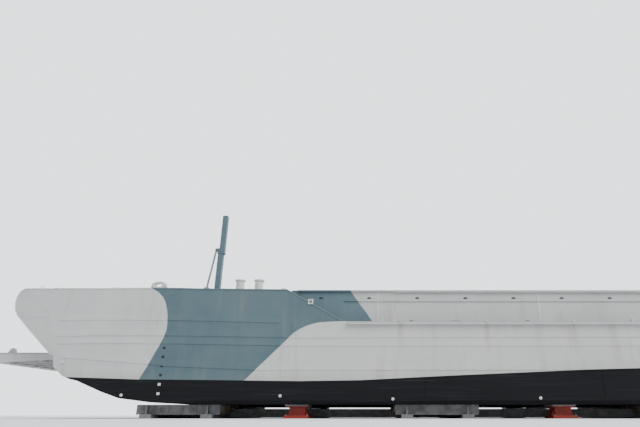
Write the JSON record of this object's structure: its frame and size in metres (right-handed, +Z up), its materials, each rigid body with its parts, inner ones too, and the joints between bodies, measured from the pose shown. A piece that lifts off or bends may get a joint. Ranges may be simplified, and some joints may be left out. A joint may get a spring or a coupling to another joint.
{
  "type": "1:2 scale model of a military landing craft",
  "caption": "Flat-bottomed landing craft with an open hold, a hinged bow ramp between high cheeks, an aft deckhouse and bridge, twin screws and rudders, on a steel cradle.",
  "frame": {"origin": "on the floor under the middle of the bounding box", "axes": "+X towards the bow ramp, +Y to port, +Z up"},
  "size_m": [29.585, 4.7208, 6.415],
  "materials": {
    "white_paint": "matt white-grey ship's paint, weathered",
    "blue_paint": "matt blue-grey ship's paint",
    "bottom_paint": "matt black bottom paint with streaks",
    "deck_paint": "rough grey deck paint",
    "bronze": "cast bronze, dull",
    "grey_steel": "grey painted steel",
    "red_paint": "red painted steel",
    "raft": "painted canvas over cork",
    "dark_steel": "dark galvanised steel"
  },
  "bodies": {
    "hull": {"hull_bottom_bow": "bottom_paint", "hull_bottom_middle": "bottom_paint", "hull_bottom_stern": "bottom_paint", "stern_hull": "white_paint", "tank_deck": "deck_paint", "bow_sill": "white_paint", "bow_post": "blue_paint", "deckhouse_walls": "white_paint", "deckhouse_roof": "deck_paint", "wheelhouse": "white_paint", "wheelhouse_roof": "deck_paint", "bridge_screen": "white_paint", "funnel": "blue_paint", "mast": "white_paint", "aft_hatch_coaming": "white_paint", "winch_frame": "grey_steel", "stern_anchor_frame": "grey_steel", "stern_anchor": "dark_steel", "stern_rail": "white_paint", "cradle_grillage": "grey_steel", "engine_skylight": "white_paint", "bridge_platform": "grey_steel", "port_side_tank": "white_paint", "port_bow_wing": "white_paint", "port_coaming": "white_paint", "port_rubbing_strake": "white_paint", "port_bow_fairlead": "white_paint", "port_bow_bollards": "white_paint", "port_stern_bollards": "white_paint", "port_splinter_tub": "white_paint", "port_life_raft": "raft", "port_cowl_vent": "white_paint", "port_stern_tube": "bottom_paint", "starboard_side_tank": "white_paint", "starboard_bow_wing": "white_paint", "starboard_coaming": "white_paint", "starboard_rubbing_strake": "white_paint", "starboard_bow_fairlead": "white_paint", "starboard_bow_bollards": "white_paint", "starboard_stern_bollards": "white_paint", "starboard_splinter_tub": "white_paint", "starboard_life_raft": "raft", "starboard_cowl_vent": "white_paint", "starboard_stern_tube": "bottom_paint", "cradle_stool_1": "red_paint", "cradle_stool_2": "red_paint", "cradle_stool_3": "red_paint", "cradle_stool_4": "red_paint"},
    "ramp": {"bow_ramp": "white_paint"},
    "winch_drum": {"winch_drum": "dark_steel"},
    "wheelhouse_door": {"wheelhouse_door": "white_paint"},
    "aft_hatch_lid": {"aft_hatch_lid": "white_paint"},
    "port_propeller": {"port_propeller": "bronze"},
    "port_rudder": {"port_rudder": "bottom_paint"},
    "port_deckhouse_door": {"port_deckhouse_door": "white_paint"},
    "port_bow_hatch_lid": {"port_bow_hatch_lid": "white_paint"},
    "starboard_propeller": {"starboard_propeller": "bronze"},
    "starboard_rudder": {"starboard_rudder": "bottom_paint"},
    "starboard_deckhouse_door": {"starboard_deckhouse_door": "white_paint"},
    "starboard_bow_hatch_lid": {"starboard_bow_hatch_lid": "white_paint"}
  },
  "joints": [
    {"name": "ramp_hinge", "type": "hinge", "parent": "hull", "child": "ramp", "pos_m": [13.1925, 0, 1.095], "axis": [0, -1, 0], "range_deg": [-18, 52]},
    {"name": "port_rudder_turn", "type": "hinge", "parent": "hull", "child": "port_rudder", "pos_m": [-13.4175, 1, 0.575], "axis": [0, 0, 1], "range_deg": [-35, 35]},
    {"name": "port_propeller_spin", "type": "hinge", "parent": "hull", "child": "port_propeller", "pos_m": [-12.7175, 1, 0.585], "axis": [1, 0, 0], "continuous": true},
    {"name": "port_deckhouse_door_hinge", "type": "hinge", "parent": "hull", "child": "port_deckhouse_door", "pos_m": [-8.9325, 1.6195, 2.225], "axis": [0, 0, -1], "range_deg": [0, 110]},
    {"name": "port_bow_hatch_hinge", "type": "hinge", "parent": "hull", "child": "port_bow_hatch_lid", "pos_m": [12.2675, 1.39, 2.3245], "axis": [1, 0, 0], "range_deg": [0, 100]},
    {"name": "starboard_rudder_turn", "type": "hinge", "parent": "hull", "child": "starboard_rudder", "pos_m": [-13.4175, -1, 0.575], "axis": [0, 0, 1], "range_deg": [-35, 35]},
    {"name": "starboard_propeller_spin", "type": "hinge", "parent": "hull", "child": "starboard_propeller", "pos_m": [-12.7175, -1, 0.585], "axis": [1, 0, 0], "continuous": true},
    {"name": "starboard_deckhouse_door_hinge", "type": "hinge", "parent": "hull", "child": "starboard_deckhouse_door", "pos_m": [-8.9325, -1.6195, 2.225], "axis": [0, 0, 1], "range_deg": [0, 110]},
    {"name": "starboard_bow_hatch_hinge", "type": "hinge", "parent": "hull", "child": "starboard_bow_hatch_lid", "pos_m": [12.2675, -1.39, 2.3245], "axis": [-1, 0, 0], "range_deg": [0, 100]},
    {"name": "wheelhouse_door_hinge", "type": "hinge", "parent": "hull", "child": "wheelhouse_door", "pos_m": [-8.912, 0.235, 3.225], "axis": [0, 0, -1], "range_deg": [0, 110]},
    {"name": "aft_hatch_hinge", "type": "hinge", "parent": "hull", "child": "aft_hatch_lid", "pos_m": [-11.9575, 0, 1.8599], "axis": [0, 1, 0], "range_deg": [0, 100]},
    {"name": "winch_drum_spin", "type": "hinge", "parent": "hull", "child": "winch_drum", "pos_m": [-13.1925, 0, 1.9254], "axis": [0, 1, 0], "continuous": true}
  ],
  "couplings": [
    {"joint": "starboard_rudder_turn", "follows": "port_rudder_turn", "ratio": 1}
  ]
}
